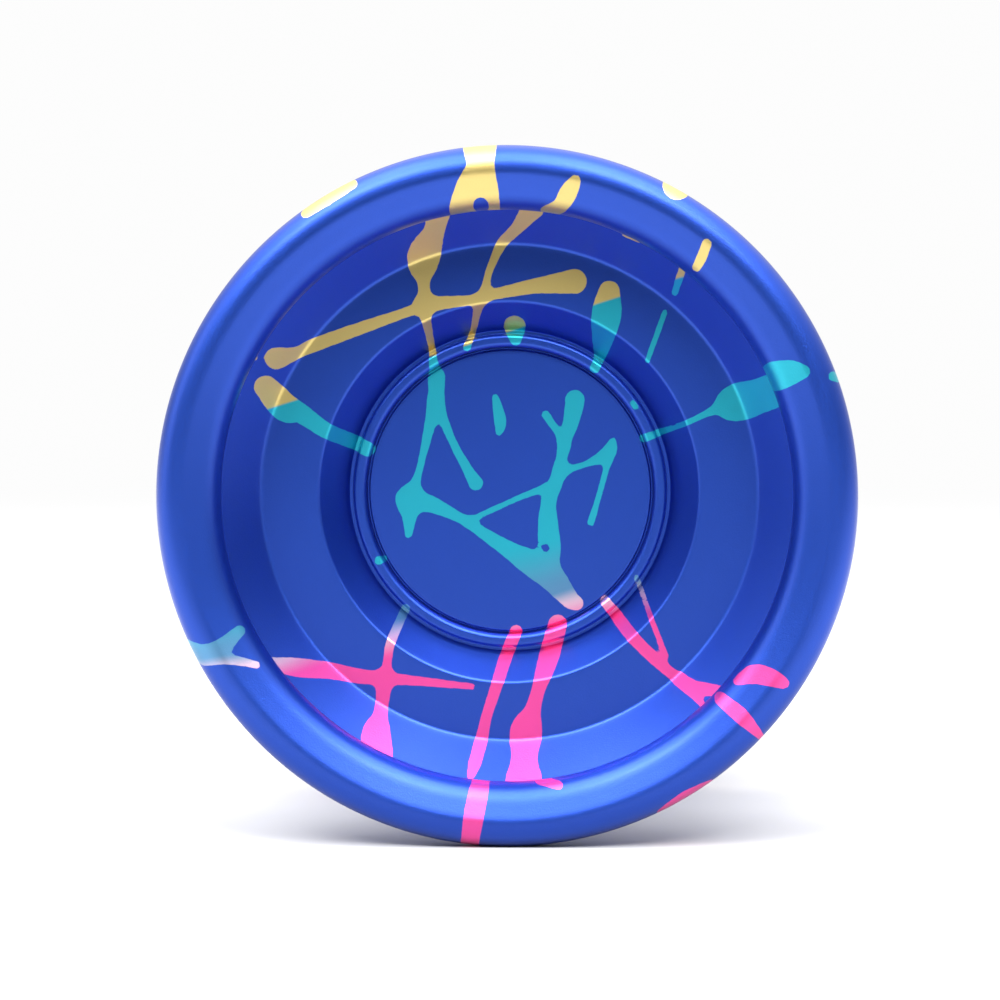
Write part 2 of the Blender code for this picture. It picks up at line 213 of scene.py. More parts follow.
RIM_STREAKS = [
    # gold, top
    [(-2.2, 30.5, 1.7), (-2.1, 28.0, 1.35), (-2.0, 26.3, 1.1), (-2.3, 24.4, 1.7), (-2.5, 22.9, 2.0)],
    [(5.5, 25.2, 0.42), (5.0, 24.3, 0.7), (4.3, 23.2, 0.6), (3.2, 22.7, 0.5)],
    [(-15.9, 22.6, 0.4), (-14.0, 23.9, 0.55), (-12.2, 24.9, 0.4)],
    [(15.9, 20.2, 0.38), (15.5, 19.1, 0.4), (15.1, 18.3, 0.34)],
    # teal, sides
    [(21.4, 9.7, 1.2), (22.6, 10.0, 0.95), (23.6, 10.1, 0.5)],
    [(25.9, 9.7, 0.36), (26.3, 9.5, 0.3)],
    [(-27.8, -11.9, 0.9), (-25.6, -12.1, 0.7), (-24.0, -12.5, 0.75), (-22.5, -11.8, 0.65),
     (-21.3, -10.7, 0.45)],
    [(-24.0, -12.7, 0.6), (-22.0, -12.9, 0.4), (-19.9, -13.4, 0.26)],
    # pink, bottom
    [(-2.0, -22.6, 0.7), (-2.4, -24.6, 0.8), (-2.8, -27.0, 0.75), (-3.3, -30.5, 0.6)],
    [(18.4, -14.6, 0.3), (19.8, -14.0, 0.75), (21.3, -14.3, 0.66), (22.1, -14.7, 0.42)],
    [(17.1, -16.0, 0.5), (18.6, -17.2, 0.62), (19.7, -18.3, 0.42), (20.5, -19.3, 0.22)],
    [(12.8, -25.4, 0.8), (14.8, -24.4, 1.2), (16.4, -23.2, 0.7)],
    [(2.6, -22.7, 0.3), (4.2, -23.0, 0.32)],
]
RIM_HOLES = [(-2.0, 23.2, 0.62)]
SPLASH_BLEND = 0.7              # how far the streaks' joins are filled in, in millimetres
SPLASH_REACH = 1.5              # the stored distance is cut off here, in millimetres


def smooth_lowest(a, b, blend):
    """The lower of two distances, with a fillet where they meet."""
    share = np.clip(0.5 + 0.5 * (b - a) / blend, 0.0, 1.0)
    return b + (a - b) * share - blend * share * (1.0 - share)


def curved(streak, pieces=5):
    """The streak's (x, z, half width) stops with a smooth curve through them."""
    stops = np.array([streak[0], *streak, streak[-1]])
    filled = [streak[0]]
    for before, start, end, after in zip(stops, stops[1:], stops[2:], stops[3:]):
        for k in range(1, pieces + 1):
            t = k / pieces
            filled.append(0.5 * (
                2 * start + (end - before) * t + (2 * before - 5 * start + 4 * end - after) * t * t
                + (3 * start - before - 3 * end + after) * t * t * t
            ))
    return filled


def streak_distance(points, streaks, holes=()):
    """Signed distance in millimetres from each (x, z) point to the streaks' edge, negative inside."""
    lowest = np.full(len(points), 50.0)
    for streak in streaks:
        reach = max(width for _, _, width in streak) + SPLASH_REACH + SPLASH_BLEND + 0.5
        places = np.array(streak)[:, :2]
        near = np.all((points > places.min(0) - reach) & (points < places.max(0) + reach), axis=1)
        close, found = points[near], np.full(np.count_nonzero(near), 50.0)
        stops = curved(streak)
        for (x0, z0, w0), (x1, z1, w1) in zip(stops, stops[1:]):
            along = np.array((x1 - x0, z1 - z0))
            offset = close - (x0, z0)
            share = np.clip(offset @ along / (along @ along), 0.0, 1.0)
            gap = np.linalg.norm(offset - share[:, None] * along, axis=1)
            found = np.minimum(found, gap - (w0 + (w1 - w0) * share))
        lowest[near] = smooth_lowest(lowest[near], found, SPLASH_BLEND)
    for x, z, radius in holes:
        lowest = np.maximum(lowest, radius - np.linalg.norm(points - (x, z), axis=1))
    return lowest


def flung_streaks(seed, count, nearest, furthest, length):
    """Streaks of dye flung at random across a ring, from its nearest to its furthest radius, in mm."""
    rng = np.random.default_rng(seed)
    streaks = []
    for _ in range(count):
        radius = rng.uniform(nearest, furthest)
        around = rng.uniform(0.0, TURN)
        heading = rng.uniform(0.0, TURN)
        run = rng.uniform(0.4, 1.0) * length
        stops = rng.integers(4, 7)
        x, z = radius * math.sin(around), radius * math.cos(around)
        width = rng.uniform(0.35, 0.8)
        streak = []
        for stop in range(stops):
            end = stop in (0, stops - 1)
            streak.append((x, z, width * rng.uniform(1.1, 1.9) if end else width * rng.uniform(0.5, 1.1)))
            heading += rng.normal(0.0, 0.18)
            x += run / (stops - 1) * math.sin(heading)
            z += run / (stops - 1) * math.cos(heading)
        streaks.append(streak)
    for _ in range(count):
        radius = rng.uniform(nearest, furthest)
        around = rng.uniform(0.0, TURN)
        x, z = radius * math.sin(around), radius * math.cos(around)
        width = rng.uniform(0.22, 0.6)
        streaks.append([(x, z, width), (x + 0.4 * width, z - 0.9 * width, width * 0.8)])
    return streaks


# ---------------------------------------------------------------- turned outlines and meshes

def rounded(corners, arc_step=math.radians(9)):
    """Outline through corners (radius, reach, rounding), with an arc in place of each rounded one."""
    points = []
    count = len(corners)
    for i, (x, y, rounding) in enumerate(corners):
        if not rounding:
            points.append((x, y))
            continue
        before = corners[i - 1]
        after = corners[(i + 1) % count]
        back = math.atan2(before[1] - y, before[0] - x)
        ahead = math.atan2(after[1] - y, after[0] - x)
        opening = (ahead - back + math.pi) % TURN - math.pi
        middle = back + opening / 2
        half = abs(opening) / 2
        centre_x = x + rounding / math.sin(half) * math.cos(middle)
        centre_y = y + rounding / math.sin(half) * math.sin(middle)
        swept = math.pi - 2 * half
        steps = max(2, round(swept / arc_step))
        side = 1 if opening > 0 else -1
        for k in range(steps + 1):
            angle = middle + math.pi + side * swept * (0.5 - k / steps)
            points.append((centre_x + rounding * math.cos(angle), centre_y + rounding * math.sin(angle)))
    return points


def spaced(points, spacing):
    """The same open outline with points added so that none are further apart than spacing."""
    filled = [points[0]]
    for (x0, y0), (x1, y1) in zip(points, points[1:]):
        pieces = max(1, math.ceil(math.hypot(x1 - x0, y1 - y0) / spacing))
        filled += [(x0 + (x1 - x0) * k / pieces, y0 + (y1 - y0) * k / pieces) for k in range(1, pieces + 1)]
    return filled


def mesh_of(name, places, faces, sharp_angle=math.radians(32)):
    """Smooth mesh, with edges kept sharp where its faces turn by more than an angle."""
    mesh = bpy.data.meshes.new(name)
    mesh.from_pydata([tuple(p) for p in places], [], faces)
    mesh.update()
    mesh.shade_smooth()
    mesh.set_sharp_from_angle(angle=sharp_angle)
    return mesh


def ring_faces(first, count, second, next_count):
    """Faces between two rings of vertices, the second with as many, twice or half as many."""
    faces = []
    if next_count == count:
        for k in range(count):
            j = (k + 1) % count
            faces.append((first + k, first + j, second + j, second + k))
    elif next_count == 2 * count:
        for k in range(count):
            j = (k + 1) % count
            near, middle, far = second + 2 * k, second + 2 * k + 1, second + (2 * k + 2) % next_count
            faces += [(first + k, middle, near), (first + k, first + j, middle), (first + j, far, middle)]
    else:
        for face in ring_faces(second, next_count, first, count):
            faces.append(face[::-1])
    return faces


def lofted(name, rings, closed=False, flip=False, sharp_angle=math.radians(32)):
    """Mesh through rings of points. A ring of one point closes an end; closed joins last to first."""
    places, starts = [], []
    for ring in rings:
        starts.append(len(places))
        places += list(ring)
    faces = []
    pairs = list(zip(range(len(rings)), range(1, len(rings))))
    if closed:
        pairs.append((len(rings) - 1, 0))
    for i, j in pairs:
        count, next_count = len(rings[i]), len(rings[j])
        if count == 1:
            faces += [(starts[i], starts[j] + (k + 1) % next_count, starts[j] + k) for k in range(next_count)]
        elif next_count == 1:
            faces += [(starts[i] + k, starts[i] + (k + 1) % count, starts[j]) for k in range(count)]
        else:
            faces += ring_faces(starts[i], count, starts[j], next_count)
    if flip:
        faces = [face[::-1] for face in faces]
    return mesh_of(name, places, faces, sharp_angle)


def circle(radius, y, count):
    """Points around the axle's line, from the top towards +X. Without a radius it is one point."""
    if radius == 0.0:
        return [(0.0, y, 0.0)]
    angles = [TURN * k / count for k in range(count)]
    return [(radius * math.sin(a), y, radius * math.cos(a)) for a in angles]


def turned(name, outline, side=1, steps=96):
    """Closed ring turned from a closed outline of (radius, reach), towards one side."""
    rings = [circle(radius, side * reach, steps) for radius, reach in outline]
    area = sum(
        x0 * y1 - x1 * y0 for (x0, y0), (x1, y1) in zip(outline, outline[1:] + outline[:1])
    )
    return lofted(name, rings, closed=True, flip=(area * side > 0))


def add_piece(name, mesh, surface, body, node):
    """A shown piece that rides on a body, stands for a CAD node and takes the finish it is given."""
    piece = bpy.data.objects.new(name, mesh)
    bpy.context.scene.collection.objects.link(piece)
    mesh.materials.append(surface)
    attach(piece, body)
    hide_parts(node)
    return piece

# ---------------------------------------------------------------- materials

BLUE_DEEP = (0.008, 0.058, 0.42)
BLUE_LIGHT = (0.012, 0.070, 0.49)
GOLD = (0.72, 0.56, 0.19)
TEAL = (0.012, 0.46, 0.60)
FADED_TEAL = (0.10, 0.28, 0.50)
PALE_PINK = (0.75, 0.55, 0.68)
PINK = (0.88, 0.07, 0.36)
DUST = (0.75, 0.8, 0.9)

# the two sloping lines between the dyes: height above the axle, and rise towards +X
GOLD_LINE = (13.0 * MM, 0.32)
PINK_LINE = (-9.8 * MM, 0.17)

COLOUR_A, COLOUR_B, COLOUR_RESULT = 6, 7, 2     # the Mix node's sockets when it mixes colours


class Nodes:
    """Short ways to add nodes to a tree."""

    def __init__(self, tree):
        self.tree = tree

    def add(self, kind, **settings):
        node = self.tree.nodes.new(kind)
        for key, value in settings.items():
            setattr(node, key, value)
        return node

    def link(self, source, target):
        self.tree.links.new(source, target)

    def put(self, value, target):
        """Sets a socket to a value, or links another socket to it. A colour may leave out its alpha."""
        if isinstance(value, bpy.types.NodeSocket):
            self.link(value, target)
        else:
            target.default_value = (*value, 1.0) if isinstance(value, tuple) else value

    def maths(self, operation, a, b=0.0, c=0.0):
        node = self.add("ShaderNodeMath", operation=operation)
        for value, socket in zip((a, b, c), node.inputs):
            self.put(value, socket)
        return node.outputs[0]

    def spread(self, value, low, high, to_low=0.0, to_high=1.0):
        """Value carried from low..high to to_low..to_high, smoothly and no further."""
        node = self.add("ShaderNodeMapRange", interpolation_type="SMOOTHSTEP")
        for content, key in zip(
            (value, low, high, to_low, to_high), ("Value", "From Min", "From Max", "To Min", "To Max")
        ):
            self.put(content, node.inputs[key])
        return node.outputs["Result"]

    def mix(self, share, a, b, blend="MIX"):
        """Colour a at share 0, and colour b, or its blend with a, at share 1."""
        node = self.add("ShaderNodeMix", data_type="RGBA", blend_type=blend)
        self.put(share, node.inputs["Factor"])
        self.put(a, node.inputs[COLOUR_A])
        self.put(b, node.inputs[COLOUR_B])
        return node.outputs[COLOUR_RESULT]

    def axes(self, vector):
        """A vector's X, Y and Z, as the outputs of one node."""
        node = self.add("ShaderNodeSeparateXYZ")
        self.link(vector, node.inputs[0])
        return node.outputs

    def noise(self, vector, scale, detail=2.0, roughness=0.5):
        node = self.add("ShaderNodeTexNoise")
        self.link(vector, node.inputs["Vector"])
        self.put(scale, node.inputs["Scale"])
        self.put(detail, node.inputs["Detail"])
        self.put(roughness, node.inputs["Roughness"])
        return node.outputs["Fac"]

    def bump(self, height, distance, strength=1.0, before=None):
        """Normal with bumps of a height from 0 to 1 times the distance, on top of the one before."""
        node = self.add("ShaderNodeBump")
        self.put(strength, node.inputs["Strength"])
        self.put(distance, node.inputs["Distance"])
        self.link(height, node.inputs["Height"])
        if before is not None:
            self.link(before, node.inputs["Normal"])
        return node.outputs["Normal"]


class Surface(Nodes):
    """The nodes of a new material."""

    def __init__(self, name):
        self.material = bpy.data.materials.new(name)
        self.material.use_nodes = True
        super().__init__(self.material.node_tree)
        self.shader = self.tree.nodes["Principled BSDF"]

    def place(self):
        """Object coordinates, which are the row frame's at rest, in metres."""
        return self.add("ShaderNodeTexCoord").outputs["Object"]

    def set(self, **values):
        """Sets the shader's sockets; an underscore in a key is a space in the socket's name."""
        for key, value in values.items():
            self.put(value, self.shader.inputs[key.replace("_", " ")])
        return self.material


def above_line(n, place, height, rise):
    """How far each place lies above a sloping line."""
    axes = n.axes(place)
    return n.maths("MULTIPLY_ADD", axes["X"], -rise, n.maths("SUBTRACT", axes["Z"], height))


def dye_colour(n, place):
    """A splash's colour: gold at the top, teal in the middle, and pale and then full pink below."""
    above_gold = above_line(n, place, *GOLD_LINE)
    above_pink = above_line(n, place, *PINK_LINE)
    drift = n.maths("MULTIPLY", n.maths("SUBTRACT", n.noise(place, 140.0, 1.0), 0.5), 1.6 * MM)
    above_pink = n.maths("ADD", above_pink, drift)
    colour = n.mix(n.spread(above_gold, -0.12 * MM, 0.12 * MM), TEAL, GOLD)
    for start, end, next_colour in ((5.2, 0.8, FADED_TEAL), (0.9, -0.4, PALE_PINK), (0.2, -1.9, PINK)):
        colour = n.mix(n.spread(above_pink, start * MM, end * MM), colour, next_colour)
    return colour


def dust_share(n, place):
    """How dusty each place is: a few round specks, each in a small cell of its own."""
    cells = n.add("ShaderNodeTexVoronoi")
    n.link(place, cells.inputs["Vector"])
    n.put(420.0, cells.inputs["Scale"])
    chance = n.add("ShaderNodeSeparateColor")
    n.link(cells.outputs["Color"], chance.inputs[0])
    rare = n.maths("GREATER_THAN", chance.outputs[0], 0.965)
    near = n.spread(cells.outputs["Distance"], 0.036, 0.018)
    return n.maths("MULTIPLY", rare, near)


def anodised_material(name):
    """Bead-blasted aluminium with a clear oxide skin, dyed blue and splashed gold, teal and pink."""
    n = Surface(name)
    place = n.place()

    # the splashes' edges, with a slight wobble, in millimetres
    splash = n.add("ShaderNodeAttribute", attribute_name="splash").outputs["Fac"]
    wobble = n.maths("MULTIPLY_ADD", n.noise(place, 1600.0), 0.1, -0.05)
    dyed = n.spread(n.maths("ADD", splash, wobble), -0.03, 0.03)
    body = n.mix(n.noise(place, 60.0), BLUE_DEEP, BLUE_LIGHT)
    colour = n.mix(dyed, body, dye_colour(n, place))
    colour = n.mix(n.maths("MULTIPLY", dust_share(n, place), 0.55), colour, DUST)

    # bead blasting: shallow dimples about a tenth of a millimetre wide
    dimples = n.bump(n.noise(place, 7000.0, 3.0, 0.65), 0.02 * MM, 0.8)
    roughness = n.spread(n.noise(place, 9000.0, 2.0, 0.6), 0.25, 0.75, 0.36, 0.48)
    return n.set(
        Base_Color=colour, Metallic=1.0, Roughness=roughness, Normal=dimples,
        Coat_Weight=0.6, Coat_Roughness=0.36, Coat_IOR=1.5,
    )


def steel_material(name, colour, roughness, grinding=0.0):
    """Steel, with fine rings left by grinding around the axle where grinding is above zero."""
    n = Surface(name)
    place = n.place()
    blotches = n.noise(place, 900.0, 3.0, 0.6)
    rough = n.spread(blotches, 0.3, 0.7, roughness * 0.75, roughness * 1.3)
    tone = n.mix(blotches, tuple(c * 0.9 for c in colour), colour)
    normal = n.bump(n.noise(place, 14000.0, 2.0, 0.6), 0.004 * MM, 0.3)
    if grinding:
        axes = n.axes(place)
        squares = [n.maths("POWER", axes[key], 2.0) for key in "XZ"]
        radius_and_y = n.add("ShaderNodeCombineXYZ")
        n.link(n.maths("POWER", n.maths("ADD", *squares), 0.5), radius_and_y.inputs["X"])
        n.link(axes["Y"], radius_and_y.inputs["Y"])
        rings = n.noise(radius_and_y.outputs[0], 16000.0)
        normal = n.bump(rings, 0.006 * MM, grinding, normal)
    return n.set(Base_Color=tone, Metallic=1.0, Roughness=rough, Normal=normal)


def silicone_material():
    """Milky moulded silicone with a faintly matt skin."""
    n = Surface("silicone")
    place = n.place()
    tone = n.mix(n.noise(place, 500.0, 3.0), (0.78, 0.80, 0.83), (0.86, 0.87, 0.88))
    normal = n.bump(n.noise(place, 5000.0), 0.02 * MM, 0.4)
    return n.set(
        Base_Color=tone, Roughness=0.55, Normal=normal, Subsurface_Weight=0.35, Subsurface_Scale=0.8 * MM,
    )


def polymer_material():
    """Black moulded polymer of the ball cage."""
    n = Surface("cage_polymer")
    place = n.place()
    tone = n.mix(n.noise(place, 1500.0), (0.018, 0.018, 0.02), (0.04, 0.04, 0.044))
    normal = n.bump(n.noise(place, 9000.0, 2.0, 0.6), 0.01 * MM, 0.5)
    return n.set(Base_Color=tone, Roughness=0.48, Normal=normal)


# ---------------------------------------------------------------- halves

Ring = namedtuple("Ring", "radius reach count pattern_radius on_rim")


def cup_corners():
    """Corners of a half's outer face, from the hub's centre up the wall to the undercut behind the lip."""
    disc = HALF_WIDTH - DISC_DEPTH
    bead_top = HALF_WIDTH - BEAD_DEPTH
    foot = HALF_WIDTH - FOOT_DEPTH
    plateau = HALF_WIDTH - PLATEAU_DEPTH
    return [
        (0.0, disc, 0.0),
        (BEAD_INNER_RADIUS - GROOVE_WIDTH, disc, DISC_EDGE_ROUNDING),
        (BEAD_INNER_RADIUS - GROOVE_FLOOR_WIDTH, disc - GROOVE_DEPTH, GROOVE_ROUNDING),
        (BEAD_INNER_RADIUS, disc - GROOVE_DEPTH, GROOVE_ROUNDING),
        (BEAD_INNER_RADIUS + BEAD_INNER_LEAN, bead_top, BEAD_INNER_ROUNDING),
        (BEAD_OUTER_RADIUS - BEAD_OUTER_LEAN, bead_top, BEAD_OUTER_ROUNDING),
        (BEAD_OUTER_RADIUS, foot, BEAD_FOOT_ROUNDING),
        (FOOT_RADIUS, foot, SLOPE_FOOT_ROUNDING),
        (SLOPE_TOP_RADIUS, plateau, SLOPE_TOP_ROUNDING),
        (PLATEAU_RADIUS, plateau, WALL_FOOT_ROUNDING),
        (UNDERCUT_RADIUS, HALF_WIDTH - WALL_TOP_DEPTH, UNDERCUT_ROUNDING),
        (UNDERCUT_RADIUS, HALF_WIDTH - UNDERCUT_DEPTH, UNDERCUT_ROUNDING),
    ]


def rim_corners():
    """Corners from the lip, over the band and the crown, to the rim's widest line."""
    return [
        (LIP_RADIUS, HALF_WIDTH - LIP_EDGE_DEPTH, LIP_EDGE_ROUNDING),
        (LIP_RADIUS, HALF_WIDTH - LIP_DEPTH, LIP_ROUNDING),
        (CROWN_RADIUS, HALF_WIDTH, CROWN_ROUNDING),
        (RIM_RADIUS, HALF_WIDTH, RIM_ROUNDING),
    ]


def catch_corners():
    """Corners from the rim's widest line down the catch wall to the string gap."""
    return [
        (RIM_RADIUS, RIM_EDGE_REACH, RIM_EDGE_ROUNDING),
        (CATCH_BEND_RADIUS, CATCH_BEND_REACH, CATCH_BEND_ROUNDING),
        (THROAT_RADIUS, THROAT_REACH, THROAT_ROUNDING),
        (GAP_EDGE_RADIUS, GAP_REACH, GAP_EDGE_ROUNDING),
    ]


def core_corners():
    """Corners of the pad's groove, the bearing's well, seat and post, and the axle's bore."""
    edge = 0.12 * MM
    seat = BEARING_REACH + SEAT_GAP
    return [
        (PAD_GROOVE_OUTER_RADIUS, GAP_REACH, edge),
        (PAD_GROOVE_OUTER_RADIUS, PAD_FLOOR_REACH, edge),
        (PAD_GROOVE_INNER_RADIUS, PAD_FLOOR_REACH, edge),
        (PAD_GROOVE_INNER_RADIUS, GAP_REACH, edge),
        (WELL_RADIUS, GAP_REACH, edge),
        (WELL_RADIUS, WELL_REACH, edge),
        (SEAT_RADIUS, WELL_REACH, edge),
        (SEAT_RADIUS, seat, edge),
        (POST_RADIUS, seat, 0.05 * MM),
        (POST_RADIUS, POST_REACH, 0.2 * MM),
        (BORE_RADIUS, POST_REACH, 0.1 * MM),
        (BORE_RADIUS, BORE_REACH, 0.0),
        (0.0, BORE_TIP_REACH, 0.0),
    ]


def ring_count(radius, spacing):
    """How many vertices go around a ring: 64, doubled until they are close enough or 512."""
    count = 64
    while TURN * radius / count > spacing and count < 512:
        count *= 2
    return count


def settled(rings):
    """The same rings, with neighbours at the same count, or at twice or half of it."""
    counts = [ring.count for ring in rings]
    for i in range(1, len(counts)):
        if counts[i - 1] > 1 and counts[i] > 2 * counts[i - 1]:
            counts[i] = 2 * counts[i - 1]
        if counts[i] > 1 and counts[i] < counts[i - 1] / 2:
            counts[i] = counts[i - 1] // 2
    return [ring._replace(count=count) for ring, count in zip(rings, counts)]


def half_rings():
    """A half's rings, from the disc's centre over the rim to the bore's end.

    A ring's pattern radius says where its splashes are looked up. Beyond the rim's widest line it
    grows with the way along the surface, so that streaks wrap over the rim.
    """
    outline = rounded(cup_corners() + rim_corners() + catch_corners() + core_corners())
    wall_end = HALF_WIDTH - WALL_TOP_DEPTH + 0.5 * MM
    catch_end_radius = PAD_GROOVE_OUTER_RADIUS + 0.2 * MM
    lip = next(i for i, (_, reach) in enumerate(outline) if reach > wall_end)
    widest = max(i for i, (radius, _) in enumerate(outline) if radius > RIM_RADIUS - TINY)
    catch_end = next(i for i, (radius, _) in enumerate(outline) if i > widest and radius < catch_end_radius)
    stretches = [   # points, spacing between rings and around them, whether the rim's splashes apply
        (outline[:lip + 1], 0.32 * MM, 0.36 * MM, False),
        (outline[lip:widest + 1], 0.32 * MM, 0.36 * MM, True),
        (outline[widest:catch_end + 1], 0.66 * MM, 0.72 * MM, True),
        (outline[catch_end:], 1.5 * MM, 0.72 * MM, True),
    ]
    rings = []
    beyond = 0.0
    for points, between, around, on_rim in stretches:
        points = spaced(points, between)
        if rings:
            points = points[1:]
        for radius, reach in points:
            if rings and (beyond or rings[-1].radius > RIM_RADIUS - TINY):
                beyond += math.hypot(radius - rings[-1].radius, reach - rings[-1].reach)
            count = ring_count(radius, around) if radius else 1
            rings.append(Ring(radius, reach, count, RIM_RADIUS + beyond if beyond else radius, on_rim))
    return settled(rings)


def make_half(word, side, cup_streaks, cup_holes, rim_streaks, rim_holes):
    """One half, with how far each vertex lies inside the splashes' edges stored in millimetres."""
    rings = half_rings()
    shape = [circle(ring.radius, side * ring.reach, ring.count) for ring in rings]
    mesh = lofted(f"{word}_half_turned", shape, flip=(side < 0))
    flat = np.array([
        (x / MM, z / MM) for ring in rings for x, _, z in circle(ring.pattern_radius, 0.0, ring.count)
    ])
    on_rim = np.repeat([ring.on_rim for ring in rings], [ring.count for ring in rings])
    distance = np.empty(len(flat))
    distance[~on_rim] = streak_distance(flat[~on_rim], cup_streaks, cup_holes)
    distance[on_rim] = streak_distance(flat[on_rim], rim_streaks, rim_holes)
    stored = mesh.attributes.new("splash", "FLOAT", "POINT")
    stored.data.foreach_set("value", np.clip(-distance, -SPLASH_REACH, SPLASH_REACH).astype(np.float32))
    surface = anodised_material(f"{word}_anodised")
    add_piece(f"{word}_half_turned", mesh, surface, f"{word}_half", f"{word}_half")


def make_halves():
    catch = flung_streaks(seed=11, count=16, nearest=33.5, furthest=46.0, length=15.0)
    make_half("front", -1, CUP_STREAKS, CUP_HOLES, RIM_STREAKS + catch, RIM_HOLES)
    back_face = flung_streaks(seed=23, count=15, nearest=3.0, furthest=25.0, length=20.0)
    back_rim = flung_streaks(seed=5, count=22, nearest=24.0, furthest=46.0, length=14.0)
    make_half("back", 1, back_face, (), back_rim, ())


# ---------------------------------------------------------------- response pads, bearing and axle

def make_pads():
    surface = silicone_material()
    inner, outer = PAD_GROOVE_INNER_RADIUS + PAD_SIDE_GAP, PAD_GROOVE_OUTER_RADIUS - PAD_SIDE_GAP
    back, face = PAD_FLOOR_REACH - PAD_BACK_GAP, GAP_REACH - PAD_SINK
    back_edge, face_edge = 0.1 * MM, 0.22 * MM
    outline = rounded([
        (inner, back, back_edge),
        (outer, back, back_edge),
        (outer, face, face_edge),
        (inner, face, face_edge),
    ])
    for word, side, body in (("front", -1, "front_slide"), ("back", 1, "back_half")):
        mesh = turned(f"{word}_pad_ring", outline, side, 128)
        add_piece(f"{word}_pad_ring", mesh, surface, body, f"{word}_response_pad")


def race_outline(wall, shoulder, land, inwards):
    """Closed outline of a race: its plain wall, the shields' places, the land and the ball groove."""
    edge = 0.06 * MM
    groove = BALL_RADIUS + ROLLING_GAP
    start = math.asin((PITCH_RADIUS - land) * inwards / groove)
    corners = [
        (wall, BEARING_REACH, RACE_ROUNDING),
        (wall, -BEARING_REACH, RACE_ROUNDING),
        (shoulder, -BEARING_REACH, edge),
        (shoulder, -SHIELD_POCKET_REACH, edge),
        (land, -SHIELD_POCKET_REACH, edge),
    ]
    steps = 12
    for k in range(steps + 1):
        angle = start + (math.pi - 2 * start) * k / steps
        corners.append((PITCH_RADIUS - inwards * groove * math.sin(angle), -groove * math.cos(angle), 0.0))
    corners += [
        (land, SHIELD_POCKET_REACH, edge),
        (shoulder, SHIELD_POCKET_REACH, edge),
        (shoulder, BEARING_REACH, edge),
    ]
    return rounded(corners, math.radians(15))


def make_races():
    surface = steel_material("bearing_steel", (0.72, 0.72, 0.74), 0.16, 0.5)
    inner = race_outline(BEARING_BORE_RADIUS, INNER_SHOULDER_RADIUS, INNER_LAND_RADIUS, 1)
    outer = race_outline(BEARING_OUTER_RADIUS, SHIELD_POCKET_RADIUS, OUTER_LAND_RADIUS, -1)
    mesh = turned("inner_race_ring", inner)
    add_piece("inner_race_ring", mesh, surface, "back_half", "bearing_inner_race")
    mesh = turned("outer_race_ring", outer, steps=144)
    add_piece("outer_race_ring", mesh, surface, "outer_race", "bearing_outer_race")


def make_balls():
    surface = steel_material("ball_steel", (0.78, 0.78, 0.8), 0.06)
    bands, steps = 16, 32
    for ball in range(BALL_COUNT):
        name = f"ball_{ball + 1:02d}"
        angle = TURN * ball / BALL_COUNT
        centre = Vector((PITCH_RADIUS * math.sin(angle), 0.0, PITCH_RADIUS * math.cos(angle)))
        rings = []
        for k in range(bands + 1):
            tilt = math.pi * k / bands
            radius = 0.0 if k in (0, bands) else BALL_RADIUS * math.sin(tilt)
            ring = circle(radius, BALL_RADIUS * math.cos(tilt), steps)
            rings.append([tuple(Vector(p) + centre) for p in ring])
        mesh = lofted(f"{name}_sphere", rings, sharp_angle=math.pi)
        add_piece(f"{name}_sphere", mesh, surface, name, name)


def make_cage():
    """Crown cage with one U-shaped pocket for each ball, open towards -Y."""
    inner, outer = 4.42 * MM, 5.1 * MM
    back, finger_end = 1.3 * MM, -0.45 * MM
    pocket = BALL_RADIUS + 0.06 * MM
    pocket_angle = pocket / PITCH_RADIUS
    web_angle = 1.06 * pocket_angle     # from a pocket's middle to where the web's flat end starts
    pocket_steps, web_steps = 14, 4
    edge = []
    for ball in range(BALL_COUNT):
        middle = TURN * ball / BALL_COUNT
        for k in range(pocket_steps + 1):
            turn = math.pi * (1 - k / pocket_steps)
            edge.append((middle + pocket_angle * math.cos(turn), pocket * math.sin(turn)))
        web_start = middle + web_angle
        web_end = middle + TURN / BALL_COUNT - web_angle
        edge += [
            (web_start + (web_end - web_start) * k / web_steps, finger_end) for k in range(web_steps + 1)
        ]
    rings = []
    for radius, reach in ((inner, None), (outer, None), (outer, back), (inner, back)):
        rings.append([
            (radius * math.sin(angle), low if reach is None else reach, radius * math.cos(angle))
            for angle, low in edge
        ])
    mesh = lofted("cage_crown", rings, closed=True)
    add_piece("cage_crown", mesh, polymer_material(), "cage", "bearing_cage")


def shield_outline(near):
    """A shield's closed outline: a flat plate whose inner part is pressed outwards by a small step."""
    bore, bend_inner, bend_outer, outer = 4.1 * MM, 4.35 * MM, 4.5 * MM, 5.66 * MM
    step, thickness = 0.05 * MM, 0.14 * MM
    edge, bend = 0.04 * MM, 0.1 * MM
    return rounded([
        (bore, near + step, edge),
        (bend_inner, near + step, bend),
        (bend_outer, near, bend),
        (outer, near, edge),
        (outer, near + thickness, edge),
        (bend_outer + step, near + thickness, bend),
        (bend_inner + step, near + step + thickness, bend),
        (bore, near + step + thickness, edge),
    ])


def snap_ring_mesh(name, side, reach):
    """Split ring of round wire, with its gap towards +X."""
    ring_radius, wire_radius = 5.56 * MM, 0.12 * MM
    steps, around, swept = 96, 12, TURN * 0.93
    rings = []
    for k in range(steps + 1):
        angle = TURN / 4 + (TURN - swept) / 2 + swept * k / steps
        ring = []
        for j in range(around):
            turn = TURN * j / around
            radius = ring_radius + wire_radius * math.cos(turn)
            y = side * reach + wire_radius * math.sin(turn)
            ring.append((radius * math.sin(angle), y, radius * math.cos(angle)))
        rings.append(ring)
    start, end = [tuple(np.mean(rings[0], axis=0))], [tuple(np.mean(rings[-1], axis=0))]
    return lofted(name, [start, *rings, end])


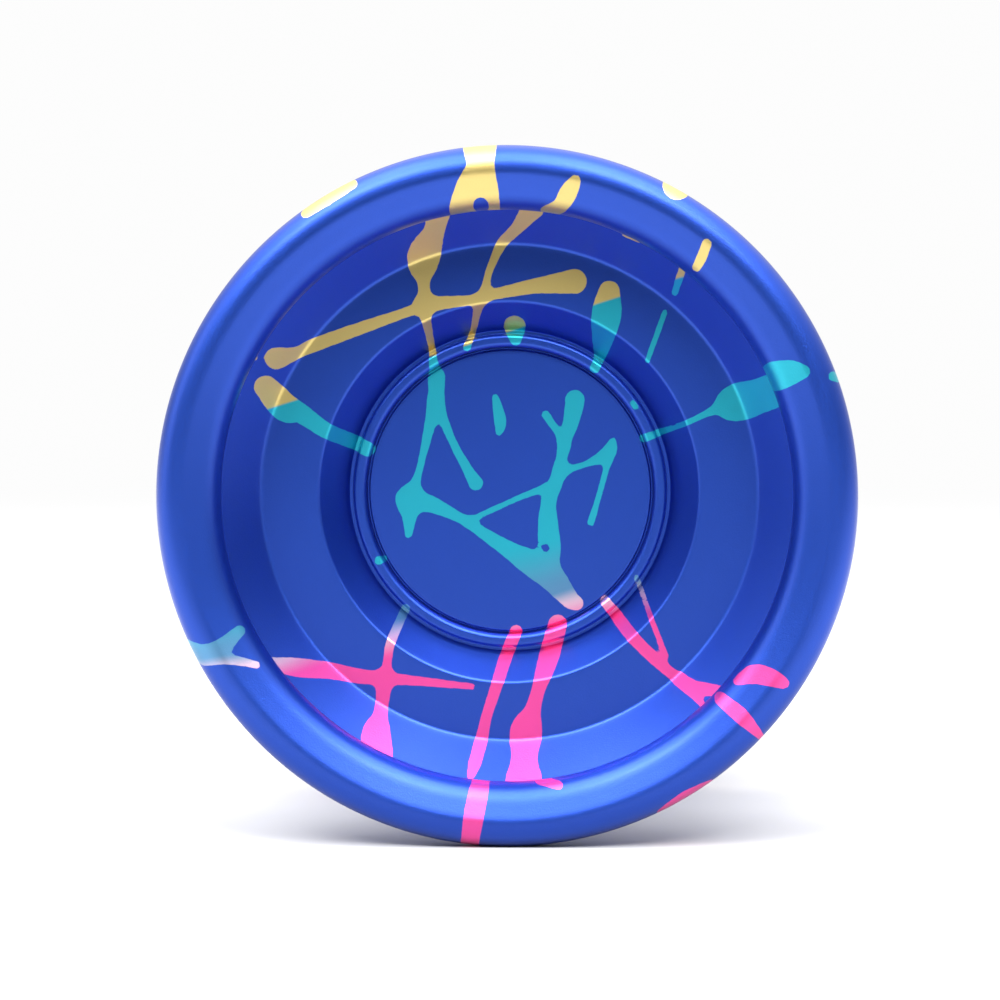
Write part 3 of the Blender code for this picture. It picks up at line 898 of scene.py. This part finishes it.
def make_shields():
    pressed = steel_material("shield_steel", (0.62, 0.62, 0.64), 0.3, 0.6)
    wire = steel_material("snap_ring_steel", (0.6, 0.6, 0.61), 0.22)
    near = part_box("back_shield")[0].y
    wire_reach = near + 0.3 * MM
    for word, side in (("front", -1), ("back", 1)):
        mesh = turned(f"{word}_shield_disc", shield_outline(near), side)
        add_piece(f"{word}_shield_disc", mesh, pressed, "outer_race", f"{word}_shield")
        mesh = snap_ring_mesh(f"{word}_snap_wire", side, wire_reach)
        add_piece(f"{word}_snap_wire", mesh, wire, "outer_race", f"{word}_snap_ring")


def hexagon(radius, y, count):
    """Points around a hexagon whose corners lie at a radius, evenly spaced by angle."""
    points = []
    for k in range(count):
        angle = TURN * k / count
        within = (angle + TURN / 12) % (TURN / 6) - TURN / 12
        distance = radius * math.cos(TURN / 12) / math.cos(within)
        points.append((distance * math.sin(angle), y, distance * math.cos(angle)))
    return points


def thread_depth(turns):
    """Depth of the thread's groove at a number of turns: flat crest and root with straight flanks."""
    from_root = abs(turns % 1.0 - 0.5)
    flank_start, flank_slope = 1.45, 4.2
    return THREAD_DEPTH * min(1.0, max(0.0, flank_start - from_root * flank_slope))


def make_axle():
    """M4 set screw: a rolled helical thread between chamfered ends with hex sockets."""
    count = 48
    rows_per_pitch = 10
    body_rows = round(2 * AXLE_REACH / THREAD_PITCH * rows_per_pitch)
    body = []
    for row in range(body_rows + 1):
        y = -AXLE_REACH + 2 * AXLE_REACH * row / body_rows
        limit = AXLE_RADIUS - max(0.0, AXLE_CHAMFER - (AXLE_REACH - abs(y)))
        ring = []
        for k in range(count):
            angle = TURN * k / count
            radius = min(AXLE_RADIUS - thread_depth(y / THREAD_PITCH + k / count), limit)
            ring.append((radius * math.sin(angle), y, radius * math.cos(angle)))
        body.append(ring)
    front = [
        [(0.0, -AXLE_REACH + SOCKET_DEPTH + SOCKET_CONE, 0.0)],
        hexagon(SOCKET_RADIUS, -AXLE_REACH + SOCKET_DEPTH, count),
        hexagon(SOCKET_RADIUS, -AXLE_REACH + SOCKET_CHAMFER, count),
        hexagon(SOCKET_RADIUS + SOCKET_CHAMFER, -AXLE_REACH, count),
    ]
    back = [[(x, -y, z) for x, y, z in ring] for ring in reversed(front)]
    mesh = lofted("axle_screw", front + body + back, flip=True)
    surface = steel_material("axle_steel", (0.42, 0.41, 0.40), 0.3)
    add_piece("axle_screw", mesh, surface, "back_half", "axle")


# ---------------------------------------------------------------- stage

PAPER = (0.98, 0.98, 0.98)
FLOOR_SEEN = (0.56, 0.56, 0.565)
FLOOR_REFLECTED = (0.6, 0.6, 0.6)
# painted shade: the floor as reflections see it is darker near the rims
FLOOR_NEAR_PAINTED_SHADE = (0.4, 0.4, 0.4)
# painted shade: the floor as reflections see it is nearly black in front
FLOOR_FRONT_PAINTED_SHADE = (0.06, 0.06, 0.06)
BLACK = (0.0, 0.0, 0.0)
FLOOR_SIDE = 12.0

# the room's brightness in front, behind and overhead
FRONT_TONE, BACK_TONE, TOP_TONE = 0.045, 0.8, 2.4

SOFTBOX_DISTANCE = 1.0
SOFTBOXES = [   # name, azimuth and elevation in degrees, width and height in metres, radiance
    ("left_softbox", -30, 41, 0.42, 0.28, 15.0),
    ("right_softbox", 20, 41, 0.42, 0.28, 15.0),
    ("top_left_softbox", -60, 64, 0.6, 0.4, 5.5),
    ("top_right_softbox", 38, 64, 0.6, 0.4, 5.5),
    ("left_panel", -75, 16, 0.5, 0.5, 1.6),
]

CAMERA_AZIMUTH = 1.9
CAMERA_ELEVATION = 3.3
CAMERA_DISTANCE = 0.39
CAMERA_AIM = (-0.51 * MM, RIM_ROUNDING - HALF_WIDTH, -0.24 * MM)
SHOWN_WIDTH = 79.74 * MM        # how much of the rim's plane the camera sees
SENSOR_WIDTH = 36.0             # millimetres, as Blender has it


def towards(azimuth, elevation):
    """Direction from the yo-yo, by angles in degrees. Azimuth 0 is in front and 90 is towards +X."""
    a, e = math.radians(azimuth), math.radians(elevation)
    return Vector((math.sin(a) * math.cos(e), -math.cos(a) * math.cos(e), math.sin(e)))


def aim_back(thing, way):
    """Turns a lamp or camera so that it looks against the way that leads to it."""
    thing.rotation_euler = (-way).to_track_quat("-Z", "Y").to_euler()


def make_camera():
    """Long lens in front of the rim, a little above it and to the right."""
    way = towards(CAMERA_AZIMUTH, CAMERA_ELEVATION)
    camera = bpy.data.objects.new("camera", bpy.data.cameras.new("camera"))
    bpy.context.scene.collection.objects.link(camera)
    camera.data.sensor_width = SENSOR_WIDTH
    camera.data.lens = SENSOR_WIDTH * CAMERA_DISTANCE / SHOWN_WIDTH
    camera.data.clip_start = 0.01
    camera.location = Vector(CAMERA_AIM) + way * CAMERA_DISTANCE
    aim_back(camera, way)
    bpy.context.scene.camera = camera


def make_world():
    """Dim room in front, lighter behind and overhead; the camera itself sees plain white paper."""
    world = bpy.data.worlds.new("studio")
    bpy.context.scene.world = world
    world.use_nodes = True
    n = Nodes(world.node_tree)
    n.tree.nodes.clear()
    axes = n.axes(n.add("ShaderNodeTexCoord").outputs["Generated"])
    level = n.spread(axes["Y"], -1.0, 1.0, FRONT_TONE, BACK_TONE)
    overhead = n.spread(axes["Z"], 0.2, 0.95)
    raised = n.maths("MULTIPLY", overhead, n.maths("SUBTRACT", TOP_TONE, level))
    room, paper = n.add("ShaderNodeBackground"), n.add("ShaderNodeBackground")
    n.put((1.0, 1.0, 1.0), room.inputs["Color"])
    n.put(n.maths("ADD", level, raised), room.inputs["Strength"])
    n.put(PAPER, paper.inputs["Color"])
    choice = n.add("ShaderNodeMixShader")
    n.link(n.add("ShaderNodeLightPath").outputs["Is Camera Ray"], choice.inputs[0])
    n.link(room.outputs[0], choice.inputs[1])
    n.link(paper.outputs[0], choice.inputs[2])
    n.link(choice.outputs[0], n.add("ShaderNodeOutputWorld").inputs["Surface"])
    bpy.context.scene.view_settings.view_transform = "Standard"


def make_floor():
    """White table under the rims that fades into paper; to reflections it is duller, with painted shade near
    the rims and in front.
    """
    half, z = FLOOR_SIDE / 2, -RIM_RADIUS
    corners = [(-half, -half, z), (half, -half, z), (half, half, z), (-half, half, z)]
    mesh = mesh_of("floor", corners, [(0, 1, 2, 3)])
    floor = bpy.data.objects.new("floor", mesh)
    bpy.context.scene.collection.objects.link(floor)

    n = Surface("floor_paper")
    place = n.place()
    from_middle = n.add("ShaderNodeVectorMath", operation="LENGTH")
    n.link(place, from_middle.inputs[0])
    away = from_middle.outputs["Value"]
    front_painted_shade_share = n.spread(n.axes(place)["Y"], -0.1, -0.2)
    # painted shade: to reflections the floor darkens within 35 to 80 mm of the middle
    reflected = n.mix(n.spread(away, 0.035, 0.08), FLOOR_NEAR_PAINTED_SHADE, FLOOR_REFLECTED)
    # painted shade: to reflections the floor turns nearly black from 0.1 to 0.2 m in front
    reflected = n.mix(front_painted_shade_share, reflected, FLOOR_FRONT_PAINTED_SHADE)

    seen = n.add("ShaderNodeLightPath").outputs["Is Camera Ray"]
    backdrop = n.spread(away, 0.1, 0.5)
    tone = n.mix(seen, reflected, n.mix(backdrop, FLOOR_SEEN, BLACK))
    mottle = n.spread(n.noise(place, 9.0), 0.3, 0.7, 0.985, 1.0)
    mesh.materials.append(n.set(
        Base_Color=n.mix(1.0, tone, mottle, "MULTIPLY"), Roughness=0.6, Specular_IOR_Level=0.0,
        Emission_Color=PAPER, Emission_Strength=n.maths("MULTIPLY", seen, backdrop),
    ))


def make_softboxes():
    for name, azimuth, elevation, width, height, radiance in SOFTBOXES:
        light = bpy.data.lights.new(name, "AREA")
        light.shape = "RECTANGLE"
        light.size = width
        light.size_y = height
        light.energy = radiance * math.pi * width * height
        box = bpy.data.objects.new(name, light)
        bpy.context.scene.collection.objects.link(box)
        way = towards(azimuth, elevation)
        box.location = way * SOFTBOX_DISTANCE
        aim_back(box, way)


# ---------------------------------------------------------------- everything

make_camera()
make_world()
make_floor()
make_softboxes()
make_halves()
make_pads()
make_races()
make_balls()
make_cage()
make_shields()
make_axle()
